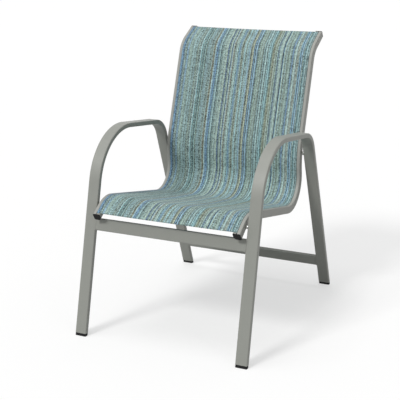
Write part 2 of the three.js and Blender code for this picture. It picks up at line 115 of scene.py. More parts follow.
# Caps on the ends of the sling rails
CAP_GAP = 0.0003
CAP_THICKNESS = 0.0025
CAP_RIM = 0.0006
CAP_RIM_STEPS = 3
CAP_PLUG_LENGTH = 0.012

# Spreader bars, which dip in their middle
BAR_WIDTH = 0.025
BAR_DEPTH = 0.011
BAR_WALL = 0.0015
BAR_CORNER = 0.0054
BAR_END_RUN = 0.035
BAR_BEND_RADIUS = 0.080
BAR_SLOPE = 15
BAR_SLOPE_RUN = 0.078
BAR_SHOULDER = 0.004

# Sling cloth, with a loop round a welt rod in each rail
CLOTH_THICKNESS = 0.001
CLOTH_CLEARANCE = 0.0003
CLOTH_FRONT_SETBACK = 0.006
CLOTH_TOP_SETBACK = 0.004
CLOTH_STEP = 0.0045
PANEL_COLUMNS = 96
NECK_CORNER = 0.0012
NECK_STEPS = 3
WELT_RADIUS = 0.0024
WELT_SIDES = 16
WELT_LOOP_RADIUS = 0.0032
WELT_LOOP_STEPS = 9
WELT_LOOP_TURN = 300
SAG_DEPTH = 0.020
# Depth of the sag along the sling, as (share of its length, share of SAG_DEPTH)
SAG_SHARES = (
    (0, 0.08), (0.07, 0.45), (0.24, 0.45), (0.4, 0.15), (0.48, 0.72), (0.59, 1), (0.7, 0.8),
    (0.89, 0.82), (0.955, 0.3), (1, 0.08),
)

# Hems at the cloth's two free ends, and their stitches
HEM_REACH = 0.014
HEM_INSET = 0.0006
HEM_SEAM = 0.011
HEM_GAP = 0.0001
HEM_COLUMNS = 48
HEM_ROWS = 6
STITCH_LENGTH = 0.0028
STITCH_PITCH = 0.0040
STITCH_RADIUS = 0.00032
STITCH_SIDES = 6
STITCH_RINGS = 4

# Weld beads round the cross rails' ends
BEAD_RADIUS = 0.0027
BEAD_SINK = 0.0016
BEAD_STEP = 0.0006
BEAD_RIPPLE_SHARE = 0.05
BEAD_SIDES = 12
BEAD_CORNER_STEPS = 4

# The weave's coloured columns and the repeat of their dots. The photograph fixes neither.
WEAVE_COLUMN = 0.0034
WEAVE_REPEAT = 0.0088
YARNS_PER_COLUMN = 3
WEFT_PITCH = 0.0011
WEAVE_LIFT = 1.10
DOT_HARDNESS = 2.2
DEEPEST_GAIN = 0.08
FLOATS_PER_REPEAT = 2
YARN_FLOAT_SHIFT = 2
YARN_GAP_SHARPNESS = 2
FLOAT_GAP_SHARPNESS = 5
WEFT_GAP_SHARPNESS = 2
# Starts of the rows of random numbers for the columns' shades and for the yarns
SHADE_SEED = 1000
YARN_SEED = 5000
# How strongly each part of the weave's pattern shows. The gap entry sets the painted shade that darkens the
# narrow gaps between yarns, floats and weft
WEAVE_STRENGTHS = {
    "Column Contrast": 0.86, "Dot Contrast": 0.15, "Fleck Contrast": 0.55, "Yarn Contrast": 0.9,
    "Painted Gap Shade": 0.40, "Row Drift": 0.5,
}
# The share that the stripe's own yarn takes: the least, what its column adds and what each yarn adds
LEAST_STRIPE_SHARE = 0.05
COLUMN_STRIPE_SHARE = 0.45
YARN_STRIPE_SHARE = 0.4
# The share of a dot's depth that every column has, and what its own random number adds
LEAST_DOT_SHARE = 0.2
COLUMN_DOT_SHARE = 0.8
# Shares of a repeat, of the shade's range, of the next column's shade and of the painted shade in the weft's
# gaps
YARN_SHIFT_SHARE = 0.22
YARN_SHADE_SHARE = 0.22
NEXT_SHADE_SHARE = 0.6
WEFT_PAINTED_SHADE_SHARE = 0.5
# What the yarns, floats and weft give to the relief
RELIEF_SHARES = (0.5, 0.35, 0.15)

# Shine of the finishes, as Specular IOR Level
FRAME_SHINE = 0.5
RAIL_SHINE = 0.25
MOULDING_SHINE = 0.1
CLOTH_SHINE = 0.3
CLOTH_SHEEN = 0.12

# Roughness, where a pattern varies it as (the least, what the pattern adds)
PAINT_ROUGHNESS = (0.40, 0.14)
MOULDING_ROUGHNESS = (0.42, 0.25)
STEEL_ROUGHNESS = 0.3
CLOTH_ROUGHNESS = 0.72
THREAD_ROUGHNESS = 0.6
FLOOR_ROUGHNESS = 0.95

# Bumps, as (height, strength)
PAINT_BUMP = (0.0005, 0.55)
MOULDING_BUMP = (0.0001, 0.3)
STEEL_BUMP = (0.0001, 0.2)
WEAVE_BUMP = (0.0005, 0.6)

# Powder coat: how far its colour drifts and its grain shows, and what peel and grain give to the relief
PAINT_STRENGTHS = {"Clouds": 0.06, "Grain": 1.0}
PAINT_SPECK = 0.22
PEEL_SHARE = 0.7
GRAIN_SHARE = 0.3

# Shares of dust in the mouldings' colours
BLACK_DUST_SHARE = 0.04
NYLON_DUST_SHARE = 0.10
WELT_DUST_SHARE = 0.05

# Patterns in the finishes, as repeats in a metre, and the detail of the noises
CLOUD_SCALE = 18
GRAIN_SCALE = 1100
PEEL_SCALE = 330
MOULD_GRAIN_SCALE = 1600
DUST_SCALE = 90
SPANGLE_SCALE = 900
TWIST_SCALE = 2500
PAINT_DETAIL = 3
PEEL_DETAIL = 1
DUST_DETAIL = 5
TWIST_DETAIL = 2

FINISH_OUTPUTS = ("Colour", "Height", "Roughness")
SOCKET_KINDS = {"Geometry": "Geometry", "Material": "Material", "Colour": "Color", "Stripe": "Color"}

# Colours of the finishes, as sRGB
FRAME_COLOUR = (142, 144, 138)
RAIL_COLOUR = (156, 157, 152)
BLACK_COLOUR = (22, 23, 25)
NYLON_COLOUR = (168, 170, 165)
WELT_COLOUR = (216, 216, 210)
DUST_COLOUR = (170, 170, 165)
ZINC_COLOURS = ((158, 162, 164), (205, 207, 206))
THREAD_COLOURS = ((96, 128, 130), (150, 178, 174))
# Yarn colours of the sling, as sRGB
YARNS = {
    "aqua": (134, 161, 161), "mist": (150, 174, 173), "sage": (139, 157, 143), "olive": (134, 137, 114),
    "khaki": (144, 140, 118), "teal": (100, 139, 147), "slate": (116, 141, 144), "blue": (86, 125, 165),
    "navy": (78, 107, 151), "moss": (118, 131, 115),
}
# Ground yarns that run among the stripes' own, as (share from which it starts, yarn)
GROUND_YARN_SHARES = ((0, "mist"), (0.22, "aqua"), (0.48, "sage"), (0.68, "slate"), (0.88, "teal"))
# Stripes from the left rail to the right, as (yarn, width in millimetres)
STRIPES = (
    ("blue", 11), ("moss", 7), ("blue", 7), ("sage", 13), ("slate", 6), ("aqua", 7), ("slate", 4),
    ("sage", 10), ("mist", 9), ("teal", 15), ("slate", 15), ("mist", 11), ("khaki", 10), ("mist", 4),
    ("blue", 10), ("slate", 16), ("aqua", 10), ("sage", 10), ("navy", 7), ("sage", 8), ("navy", 5),
    ("khaki", 8), ("aqua", 8), ("mist", 7), ("blue", 9), ("olive", 10), ("teal", 6), ("mist", 11),
    ("aqua", 4), ("blue", 5), ("khaki", 13), ("blue", 14), ("sage", 11), ("moss", 13), ("slate", 9),
    ("mist", 10), ("teal", 16), ("olive", 15), ("aqua", 5), ("navy", 7), ("sage", 12), ("navy", 6),
    ("mist", 14), ("sage", 11), ("aqua", 6), ("navy", 6), ("mist", 12), ("khaki", 12), ("blue", 12),
    ("sage", 4), ("teal", 9), ("slate", 8),
)
STRIPES_PER_RAMP = 26


def colour(red, green, blue):
    """A linear colour with full cover, from sRGB steps of 0 to 255"""
    def linear(step):
        value = step / 255
        return value / 12.92 if value <= 0.04045 else ((value + 0.055) / 1.055) ** 2.4
    return (linear(red), linear(green), linear(blue), 1)


# Lines in the side view

def heading_vector(heading):
    return Vector((math.cos(heading), math.sin(heading)))


def upward(heading):
    return Vector((-math.sin(heading), math.cos(heading)))


def bent_line(start, slope, moves, bend_step, run_step):
    """Places (y, z) and headings along straight runs and bends, from a start with its slope in degrees"""
    place = Vector(start)
    heading = math.radians(slope)
    stations = [(place.copy(), heading)]
    for move in moves:
        first, origin = heading, place.copy()
        if move[0] == "run":
            count = max(1, round(move[1] / run_step))
            for index in range(1, count + 1):
                place = origin + heading_vector(heading) * move[1] * index / count
                stations.append((place.copy(), heading))
        else:
            turn = math.radians(move[2]) - first
            side = math.copysign(move[1], turn)
            centre = origin + upward(first) * side
            count = max(LEAST_BEND_STEPS, round(abs(turn) * move[1] / bend_step))
            for index in range(1, count + 1):
                heading = first + turn * index / count
                place = centre - upward(heading) * side
                stations.append((place.copy(), heading))
    return stations


def rail_line(bend_step, run_step):
    return bent_line(RAIL_START, RAIL_START_SLOPE, RAIL_MOVES, bend_step, run_step)


def frame_line():
    """The side frame's middle, from under the front foot over the arm to under the rear foot"""
    slope = 90 - FRONT_LEG_LEAN
    start = Vector((FRONT_FOOT, 0)) - heading_vector(math.radians(slope)) * TUBE_DEPTH
    moves = (("run", FRONT_LEG_LENGTH + TUBE_DEPTH),) + ARM_MOVES
    line = bent_line(start, slope, moves, BEND_STEP, RUN_STEP)
    place, heading = line[-1]
    down = TUBE_DEPTH - place.y / math.sin(heading)
    return line + [(place + heading_vector(heading) * down, heading)]


def cloth_line():
    """The rail's line without the setbacks at its two ends, with the share of the length passed"""
    stations = rail_line(CLOTH_STEP, CLOTH_STEP)
    start, end = stations[0], stations[-1]
    start = (start[0] + heading_vector(start[1]) * CLOTH_FRONT_SETBACK, start[1])
    end = (end[0] - heading_vector(end[1]) * CLOTH_TOP_SETBACK, end[1])
    line = [start] + stations[1:-1] + [end]
    passed = [0.0]
    for before, after in zip(line, line[1:]):
        passed.append(passed[-1] + (after[0] - before[0]).length)
    return [(place, heading, length / passed[-1], length) for (place, heading), length in zip(line, passed)]


def sag_at(share):
    for (low, shallow), (high, deep) in zip(SAG_SHARES, SAG_SHARES[1:]):
        if share <= high:
            blend = min(max((share - low) / (high - low), 0), 1)
            blend = blend * blend * (3 - 2 * blend)
            return SAG_DEPTH * (shallow + (deep - shallow) * blend)
    return SAG_DEPTH * SAG_SHARES[-1][1]


# Meshes

def new_object(name, data):
    piece = bpy.data.objects.new(name, data)
    bpy.context.scene.collection.objects.link(piece)
    return piece


def evaluated_copy(piece):
    """The piece with its modifiers applied, in place of the piece"""
    depsgraph = bpy.context.evaluated_depsgraph_get()
    made = bpy.data.meshes.new_from_object(piece.evaluated_get(depsgraph))
    name = piece.name
    bpy.data.objects.remove(piece)
    made.name = name
    return new_object(name, made)


def smooth(mesh):
    mesh.polygons.foreach_set("use_smooth", [True] * len(mesh.polygons))


def recalculated(mesh):
    work = bmesh.new()
    work.from_mesh(mesh)
    bmesh.ops.recalc_face_normals(work, faces=work.faces)
    work.to_mesh(mesh)
    work.free()


def arc_points(centre_x, centre_y, radius, first, last, steps):
    points = []
    for step in range(steps + 1):
        angle = math.radians(first + (last - first) * step / steps)
        points.append((centre_x + radius * math.cos(angle), centre_y + radius * math.sin(angle)))
    return points


def tube_outline(width, depth, corner, steps=CORNER_STEPS):
    x, y = width / 2 - corner, depth / 2 - corner
    quarters = ((x, y, 0), (-x, y, 90), (-x, -y, 180), (x, -y, 270))
    return [point for centre_x, centre_y, first in quarters
            for point in arc_points(centre_x, centre_y, corner, first, first + 90, steps)]


def tube_section(width, depth, wall, corner):
    """A flat tube's outline and its hollow, as (outward, up) points"""
    return (tube_outline(width, depth, corner),
            tube_outline(width - 2 * wall, depth - 2 * wall, corner - wall))


def rail_outside():
    """The rail's outline from its outer top corner round its foot and belly to its inner top corner"""
    x, y = RAIL_WIDTH / 2, RAIL_DEPTH / 2
    outer, inner, foot, belly = RAIL_OUTER_CORNER, RAIL_INNER_CORNER, RAIL_FOOT_CORNER, RAIL_BELLY_RADIUS
    return (arc_points(x - outer, y - outer, outer, 90, 0, CORNER_STEPS)
            + arc_points(x - foot, foot - y, foot, 0, -90, CORNER_STEPS)
            + arc_points(belly - x, belly - y, belly, -90, -180, BELLY_STEPS)
            + arc_points(inner - x, y - inner, inner, 180, 90, INNER_CORNER_STEPS))


def chamber_outline(shrink):
    x, y, wall = RAIL_WIDTH / 2 - shrink, RAIL_DEPTH / 2 - shrink, RAIL_WALL
    foot, belly = RAIL_FOOT_CORNER, RAIL_BELLY_RADIUS
    ceiling = CHANNEL_HEIGHT - CHANNEL_RADIUS - CHANNEL_FLOOR - shrink
    return ([(x - wall, ceiling)]
            + arc_points(x - foot, foot - y, foot - wall, 0, -90, CHAMBER_CORNER_STEPS)
            + arc_points(belly - x, belly - y, belly - wall, -90, -180, CHAMBER_BELLY_STEPS)
            + [(wall - x, ceiling)])


def rail_section():
    """The sling rail's outline with its slot and welt channel, and the chamber under them"""
    y, lip = RAIL_DEPTH / 2, RAIL_LIP_CORNER
    slot = CLOTH_THICKNESS + CLOTH_CLEARANCE
    mouth = math.degrees(math.acos(slot / CHANNEL_RADIUS))
    outline = (arc_points(slot + lip, y - lip, lip, 180, 90, LIP_STEPS)
               + rail_outside()
               + arc_points(-slot - lip, y - lip, lip, 90, 0, LIP_STEPS)
               + arc_points(0, CHANNEL_HEIGHT, CHANNEL_RADIUS, 180 - mouth, 360 + mouth, CHANNEL_STEPS))
    return outline, chamber_outline(0)


def swept(name, section, line, centre, side):
    """A bar of one section along a line, on the left side (-1) or the right side (1). The section is an
    outline, with a hollow after it where the bar has one"""
    across = [point for loop in section for point in loop]
    count = len(across)
    vertices = []
    for place, heading in line:
        for outward, up in across:
            point = place + upward(heading) * up
            vertices.append((side * (centre + outward), point.x, point.y))
    faces, first = [], 0
    for loop in section:
        for row in range(len(line) - 1):
            for corner in range(len(loop)):
                here = row * count + first + corner
                following = row * count + first + (corner + 1) % len(loop)
                faces.append((here, following, following + count, here + count))
        first += len(loop)
    last = (len(line) - 1) * count
    for a, b, c in tessellate_polygon([[Vector((x, y, 0)) for x, y in loop] for loop in section]):
        faces += [(a, b, c), (last + c, last + b, last + a)]
    mesh = bpy.data.meshes.new(name)
    mesh.from_pydata(vertices, [], faces)
    recalculated(mesh)
    return new_object(name, mesh)


def cut_level(piece, height):
    """Cuts both legs off level and closes the tube's walls there"""
    work = bmesh.new()
    work.from_mesh(piece.data)
    everything = work.verts[:] + work.edges[:] + work.faces[:]
    bmesh.ops.bisect_plane(work, geom=everything, clear_inner=True,
                           plane_co=(0, 0, height), plane_no=(0, 0, 1))
    rims = [edge for edge in work.edges if edge.is_boundary]
    bmesh.ops.triangle_fill(work, use_beauty=True, edges=rims)
    bmesh.ops.recalc_face_normals(work, faces=work.faces)
    work.to_mesh(piece.data)
    work.free()


def combined(piece, other, operation):
    """The piece with another added to it or taken from it, in place of both"""
    change = piece.modifiers.new("change", "BOOLEAN")
    change.operation = operation
    change.solver = "EXACT"
    change.object = other
    made = evaluated_copy(piece)
    bpy.data.objects.remove(other)
    return made


def bored(piece, holes):
    """Bores round holes that lie across the chair, as (radius, from x, to x, y, z)"""
    work = bmesh.new()
    for radius, first, last, y, z in holes:
        place = Matrix.Translation(((first + last) / 2, y, z)) @ Matrix.Rotation(math.pi / 2, 4, "Y")
        bmesh.ops.create_cone(work, cap_ends=True, segments=HOLE_SIDES, radius1=radius, radius2=radius,
                              depth=abs(last - first), matrix=place)
    mesh = bpy.data.meshes.new("holes")
    work.to_mesh(mesh)
    work.free()
    return combined(piece, new_object("holes", mesh), "DIFFERENCE")


def crisp(piece):
    """Smooth faces that break only at true edges"""
    smooth(piece.data)
    piece.data.set_sharp_from_angle(angle=math.radians(EDGE_ANGLE))
    even = piece.modifiers.new("even_normals", "WEIGHTED_NORMAL")
    even.keep_sharp = True
    return piece


def cloth_section():
    """Points (x, height over the rail's middle) of half the cloth, from its middle out into the welt loop"""
    panel_height = RAIL_DEPTH / 2 + CLOTH_CLEARANCE + CLOTH_THICKNESS / 2
    flat_end = RAIL_CENTRE - NECK_CORNER
    half = PANEL_COLUMNS // 2
    points = [(flat_end * index / half, panel_height) for index in range(half + 1)]
    for index in range(1, NECK_STEPS + 1):
        angle = math.radians(90 - 90 * index / NECK_STEPS)
        points.append((flat_end + NECK_CORNER * math.cos(angle),
                       panel_height - NECK_CORNER + NECK_CORNER * math.sin(angle)))
    for index in range(WELT_LOOP_STEPS + 1):
        angle = math.radians(90 - WELT_LOOP_TURN * index / WELT_LOOP_STEPS)
        points.append((RAIL_CENTRE + WELT_LOOP_RADIUS * math.cos(angle),
                       CHANNEL_HEIGHT + WELT_LOOP_RADIUS * math.sin(angle)))
    return points


def surface_point(station, x, height):
    place, heading, share, _ = station
    reach = min(abs(x) / RAIL_INSIDE, 1)
    point = place + upward(heading) * (height - sag_at(share) * (1 - reach * reach))
    return Vector((x, point.x, point.y))


def cloth_size(section, line):
    width = 2 * sum(math.dist(a, b) for a, b in zip(section, section[1:]))
    middle = [surface_point(station, 0, section[0][1]) for station in line]
    length = sum((b - a).length for a, b in zip(middle, middle[1:]))
    return width, length


def woven_sheet(name, vertices, across, along):
    """A sheet of cloth from rows of vertices, with its own measure across and along as its UV map"""
    count = len(across)
    faces = [
        (row * count + col, row * count + col + 1, (row + 1) * count + col + 1, (row + 1) * count + col)
        for row in range(len(along) - 1) for col in range(count - 1)
    ]
    mesh = bpy.data.meshes.new(name)
    mesh.from_pydata(vertices, [], faces)
    layer = mesh.uv_layers.new(name="cloth")
    for loop in mesh.loops:
        row, col = divmod(loop.vertex_index, count)
        layer.data[loop.index].uv = (across[col], along[row])
    smooth(mesh)
    sheet = new_object(name, mesh)
    solidify = sheet.modifiers.new("thickness", "SOLIDIFY")
    solidify.thickness = CLOTH_THICKNESS
    solidify.offset = 0
    return sheet


def make_cloth():
    section, line = cloth_section(), cloth_line()
    across = [(-x, h) for x, h in reversed(section[1:])] + section
    reach = [0.0]
    for a, b in zip(across, across[1:]):
        reach.append(reach[-1] + math.dist(a, b))
    middle = reach[len(section) - 1]
    vertices = [surface_point(station, x, h) for station in line for x, h in across]
    cloth = woven_sheet("sling_fabric", vertices, [length - middle for length in reach],
                        [station[3] for station in line])
    return cloth, cloth_size(section, line)


# Geometry node trees

def new_group(name, kind, inputs, outputs):
    """A group with its source and its result. A socket that SOCKET_KINDS doesn't name is a number"""
    tree = bpy.data.node_groups.new(name, kind)
    for labels, way in ((inputs, "INPUT"), (outputs, "OUTPUT")):
        for label in labels:
            socket_type = "NodeSocket" + SOCKET_KINDS.get(label, "Float")
            tree.interface.new_socket(label, in_out=way, socket_type=socket_type)
    return tree, tree.nodes.new("NodeGroupInput").outputs, tree.nodes.new("NodeGroupOutput")


def feed(tree, node, inputs):
    """Sets a node's inputs to numbers and colours, or links them to what other nodes give"""
    for socket, value in inputs.items():
        if isinstance(value, (int, float, tuple)):
            node.inputs[socket].default_value = value
        else:
            tree.links.new(value, node.inputs[socket])


def add_node(tree, kind, inputs):
    node = tree.nodes.new(kind)
    feed(tree, node, inputs)
    return node.outputs


def math_node(tree, operation, *values):
    """A sum in a tree of either kind"""
    node = tree.nodes.new("ShaderNodeMath")
    node.operation = operation
    feed(tree, node, dict(enumerate(values)))
    return node.outputs["Value"]


def run_tree(piece, tree, values):
    """Runs a tree on a piece with its named inputs set, and leaves the result as a plain mesh"""
    modifier = piece.modifiers.new("tree", "NODES")
    modifier.node_group = tree
    for item in tree.interface.items_tree:
        if item.item_type == "SOCKET" and item.in_out == "INPUT" and item.name in values:
            modifier[item.identifier] = values[item.name]
    return evaluated_copy(piece)


def even_points(tree, source, step):
    """Points at even steps along the tree's line of edges"""
    curve = add_node(tree, "GeometryNodeMeshToCurve", {"Mesh": source["Geometry"]})["Curve"]
    resample = tree.nodes.new("GeometryNodeResampleCurve")
    resample.mode = "LENGTH"
    feed(tree, resample, {"Curve": curve, "Length": source[step]})
    return resample.outputs["Curve"]


def hand_out(tree, source, made, result):
    """Gives out what a tree made, in the tree's material"""
    made = add_node(tree, "GeometryNodeRealizeInstances", {"Geometry": made})["Geometry"]
    made = add_node(tree, "GeometryNodeSetMaterial", {"Geometry": made, "Material": source["Material"]})
    feed(tree, result, {"Geometry": made["Geometry"]})


def stitch_tree():
    """A row of short thread loops along a line of edges"""
    inputs = ("Geometry", "Pitch", "Length", "Radius", "Material")
    tree, source, result = new_group("stitch_row", "GeometryNodeTree", inputs, ("Geometry",))
    align = tree.nodes.new("FunctionNodeAlignRotationToVector")
    align.axis = "X"
    feed(tree, align, {"Vector": add_node(tree, "GeometryNodeInputTangent", {})["Tangent"]})
    loop = add_node(tree, "GeometryNodeMeshUVSphere", {
        "Segments": STITCH_SIDES, "Rings": STITCH_RINGS, "Radius": 1,
    })
    size = add_node(tree, "ShaderNodeCombineXYZ", {
        "X": math_node(tree, "MULTIPLY", source["Length"], 0.5), "Y": source["Radius"], "Z": source["Radius"],
    })
    row = add_node(tree, "GeometryNodeInstanceOnPoints", {
        "Points": even_points(tree, source, "Pitch"), "Instance": loop["Mesh"],
        "Rotation": align.outputs["Rotation"], "Scale": size["Vector"],
    })
    hand_out(tree, source, row["Instances"], result)
    return tree


def bead_tree():
    """A weld bead: a closed line of edges swept with a round section that swells once for each ripple"""
    inputs = ("Geometry", "Step", "Radius", "Ripple", "Material")
    tree, source, result = new_group("weld_bead", "GeometryNodeTree", inputs, ("Geometry",))
    index = add_node(tree, "GeometryNodeInputIndex", {})["Index"]
    wave = math_node(tree, "SINE", math_node(tree, "MULTIPLY", index, math.pi / 2))
    section = add_node(tree, "GeometryNodeCurvePrimitiveCircle", {
        "Resolution": BEAD_SIDES, "Radius": source["Radius"],
    })
    sweep = add_node(tree, "GeometryNodeCurveToMesh", {
        "Curve": even_points(tree, source, "Step"), "Profile Curve": section["Curve"],
        "Scale": math_node(tree, "MULTIPLY_ADD", wave, source["Ripple"], 1),
    })
    hand_out(tree, source, sweep["Mesh"], result)
    return tree


# Materials

def mix_colours(tree, share, first, second):
    node = tree.nodes.new("ShaderNodeMix")
    node.data_type = "RGBA"
    feed(tree, node, {0: share, 6: first, 7: second})
    return node.outputs[2]


def scaled_colour(tree, tint, gain):
    node = tree.nodes.new("ShaderNodeVectorMath")
    node.operation = "SCALE"
    feed(tree, node, {0: tint, "Scale": gain})
    return node.outputs["Vector"]


def object_place(tree):
    return tree.nodes.new("ShaderNodeTexCoord").outputs["Object"]


def clouded(tree, place, scale, detail):
    """Noise from 0 to 1"""
    return add_node(tree, "ShaderNodeTexNoise", {"Vector": place, "Scale": scale, "Detail": detail})["Fac"]


def pitted(tree, place, scale):
    """Distance to the middles of small random cells"""
    return add_node(tree, "ShaderNodeTexVoronoi", {"Vector": place, "Scale": scale})["Distance"]


def about_none(tree, number):
    """A number of 0 to 1 moved to lie about 0"""
    return math_node(tree, "SUBTRACT", number, 0.5)


def varied(tree, pattern, spread):
    """A number that a pattern of 0 to 1 varies, from (the least, what the pattern adds)"""
    least, added = spread
    return math_node(tree, "MULTIPLY_ADD", pattern, added, least)


def powder_group():
    """Powder coat: colour clouds, fine grain and orange peel"""
    tree, source, result = new_group(
        "powder_coat", "ShaderNodeTree", ("Colour", "Clouds", "Grain"), FINISH_OUTPUTS)
    place = object_place(tree)
    clouds = clouded(tree, place, CLOUD_SCALE, PAINT_DETAIL)
    grain = clouded(tree, place, GRAIN_SCALE, PAINT_DETAIL)
    peel = clouded(tree, place, PEEL_SCALE, PEEL_DETAIL)
    drift = math_node(tree, "MULTIPLY", about_none(tree, clouds), source["Clouds"])
    speck = math_node(tree, "MULTIPLY", about_none(tree, grain), PAINT_SPECK)
    gain = math_node(tree, "ADD", math_node(tree, "ADD", drift, speck), 1)
    fine = math_node(tree, "MULTIPLY", grain, GRAIN_SHARE)
    relief = math_node(tree, "ADD", math_node(tree, "MULTIPLY", peel, PEEL_SHARE), fine)
    feed(tree, result, {
        "Colour": scaled_colour(tree, source["Colour"], gain),
        "Height": math_node(tree, "MULTIPLY", relief, source["Grain"]),
        "Roughness": varied(tree, clouds, PAINT_ROUGHNESS),
    })
    return tree


def moulded_group():
    """Moulded plastic: a fine spark-eroded grain with dust in it"""
    tree, source, result = new_group("moulded_plastic", "ShaderNodeTree", ("Colour", "Dust"), FINISH_OUTPUTS)
    place = object_place(tree)
    dust = clouded(tree, place, DUST_SCALE, DUST_DETAIL)
    share = math_node(tree, "MULTIPLY", dust, source["Dust"])
    feed(tree, result, {
        "Colour": mix_colours(tree, share, source["Colour"], colour(*DUST_COLOUR)),
        "Height": pitted(tree, place, MOULD_GRAIN_SCALE),
        "Roughness": varied(tree, dust, MOULDING_ROUGHNESS),
    })
    return tree


def noise_by(tree, place):
    """Three random numbers that stay the same all along one column or yarn"""
    noise = tree.nodes.new("ShaderNodeTexWhiteNoise")
    noise.noise_dimensions = "1D"
    feed(tree, noise, {"W": place})
    parts = add_node(tree, "ShaderNodeSeparateColor", {"Color": noise.outputs["Color"]})
    return parts["Red"], parts["Green"], parts["Blue"]


def stepped_colours(tree, fraction, steps):
    """A ramp in hard steps, from (place, yarn) pairs"""
    ramp = tree.nodes.new("ShaderNodeValToRGB")
    ramp.color_ramp.interpolation = "CONSTANT"
    ramp.color_ramp.elements.remove(ramp.color_ramp.elements[-1])
    for index, (place, yarn) in enumerate(steps):
        elements = ramp.color_ramp.elements
        element = elements[0] if index == 0 else elements.new(place)
        element.position = place
        element.color = colour(*YARNS[yarn])
    feed(tree, ramp, {"Fac": fraction})
    return ramp.outputs["Color"]


def rounded(tree, place):
    """0 at each whole number and 1 halfway between two, as over the back of a yarn"""
    return math_node(tree, "ABSOLUTE", math_node(tree, "SINE", math_node(tree, "MULTIPLY", place, math.pi)))


def painted_gap_mask(tree, back, sharpness):
    """1 in the narrow gap beside a yarn's back, 0 on the back: where painted shade darkens the weave"""
    return math_node(tree, "POWER", math_node(tree, "SUBTRACT", 1, back), sharpness)


def float_noise(tree, row, floats):
    """A chance from 0 to 1 for each float of a column or yarn, with floats counted along the cloth"""
    place = add_node(tree, "ShaderNodeCombineXYZ", {"X": row, "Y": math_node(tree, "FLOOR", floats)})
    noise = tree.nodes.new("ShaderNodeTexWhiteNoise")
    noise.noise_dimensions = "2D"
    feed(tree, noise, {"Vector": place["Vector"]})
    return noise.outputs["Value"]


def weave_group():
    """Coated yarns in columns: ground yarns among the stripe's own, broken into light floats and dark dots,
    with painted shade darkening the narrow gaps between yarns, floats and weft
    """
    inputs = ("Stripe", "Across", "Along", *WEAVE_STRENGTHS)
    tree, source, result = new_group("sling_weave", "ShaderNodeTree", inputs, ("Colour", "Height"))

    def plus(first, second):
        return math_node(tree, "ADD", first, second)

    def times(first, second):
        return math_node(tree, "MULTIPLY", first, second)

    column = math_node(tree, "DIVIDE", source["Across"], WEAVE_COLUMN)
    number = math_node(tree, "FLOOR", column)
    kind, share, depth = noise_by(tree, number)
    shade, _, shift = noise_by(tree, plus(number, SHADE_SEED))
    next_shade, _, _ = noise_by(tree, plus(number, SHADE_SEED + 1))
    ground = stepped_colours(tree, kind, GROUND_YARN_SHARES)

    yarn_place = times(column, YARNS_PER_COLUMN)
    yarn = math_node(tree, "FLOOR", yarn_place)
    yarn_shade, yarn_shift, yarn_share = noise_by(tree, plus(yarn, YARN_SEED))
    blend = plus(times(share, COLUMN_STRIPE_SHARE), times(yarn_share, YARN_STRIPE_SHARE))
    blend = plus(blend, LEAST_STRIPE_SHARE)
    mixed = mix_colours(tree, blend, ground, source["Stripe"])
    rows = math_node(tree, "DIVIDE", source["Along"], WEAVE_REPEAT)
    along = plus(plus(rows, times(shift, source["Row Drift"])), times(yarn_shift, YARN_SHIFT_SHARE))
    wave = math_node(tree, "SINE", times(along, 2 * math.pi))
    dot = math_node(tree, "MINIMUM", math_node(tree, "MAXIMUM", times(wave, DOT_HARDNESS), -1), 1)
    dot = times(dot, plus(times(depth, COLUMN_DOT_SHARE), LEAST_DOT_SHARE))
    floats = times(along, FLOATS_PER_REPEAT)
    yarn_floats = plus(floats, times(yarn_share, YARN_FLOAT_SHIFT))

    yarn_back = rounded(tree, yarn_place)
    float_back = rounded(tree, yarn_floats)
    weft_back = rounded(tree, math_node(tree, "DIVIDE", source["Along"], WEFT_PITCH))
    # Painted shade: the colour is darkened in the narrow gaps between yarns, between floats and between weft
    # rows
    weft_painted_shade = times(painted_gap_mask(tree, weft_back, WEFT_GAP_SHARPNESS), WEFT_PAINTED_SHADE_SHARE)
    painted_gap_shade = plus(painted_gap_mask(tree, float_back, FLOAT_GAP_SHARPNESS), weft_painted_shade)
    painted_gap_shade = plus(painted_gap_mask(tree, yarn_back, YARN_GAP_SHARPNESS), painted_gap_shade)

    beside = times(about_none(tree, next_shade), NEXT_SHADE_SHARE)
    gain = math_node(tree, "SUBTRACT", about_none(tree, shade), beside)
    gain = times(gain, source["Column Contrast"])
    gain = plus(gain, times(about_none(tree, yarn_shade), YARN_SHADE_SHARE))
    gain = plus(gain, times(dot, source["Dot Contrast"]))
    column_fleck = about_none(tree, float_noise(tree, number, floats))
    gain = plus(gain, times(column_fleck, source["Fleck Contrast"]))
    yarn_fleck = about_none(tree, float_noise(tree, yarn, yarn_floats))
    gain = plus(gain, times(yarn_fleck, source["Yarn Contrast"]))
    gain = math_node(tree, "SUBTRACT", gain, times(painted_gap_shade, source["Painted Gap Shade"]))
    gain = math_node(tree, "MAXIMUM", plus(gain, WEAVE_LIFT), DEEPEST_GAIN)
    backs = (yarn_back, float_back, weft_back)
    by_yarn, by_float, by_weft = (times(back, share) for back, share in zip(backs, RELIEF_SHARES))
    feed(tree, result, {
        "Colour": scaled_colour(tree, mixed, gain), "Height": plus(by_yarn, plus(by_float, by_weft)),
    })
    return tree


def plain_material(name, roughness=0.5, metallic=0.0):
    material = bpy.data.materials.new(name)
    material.use_nodes = True
    tree = material.node_tree
    shader = tree.nodes["Principled BSDF"]
    feed(tree, shader, {"Roughness": roughness, "Metallic": metallic})
    return material, tree, shader


def place_group(tree, group, inputs):
    node = tree.nodes.new("ShaderNodeGroup")
    node.node_tree = group
    feed(tree, node, inputs)
    return node.outputs


def bumped(tree, shader, height, relief):
    distance, strength = relief
    bump = add_node(tree, "ShaderNodeBump", {"Height": height, "Distance": distance, "Strength": strength})
    feed(tree, shader, {"Normal": bump["Normal"]})


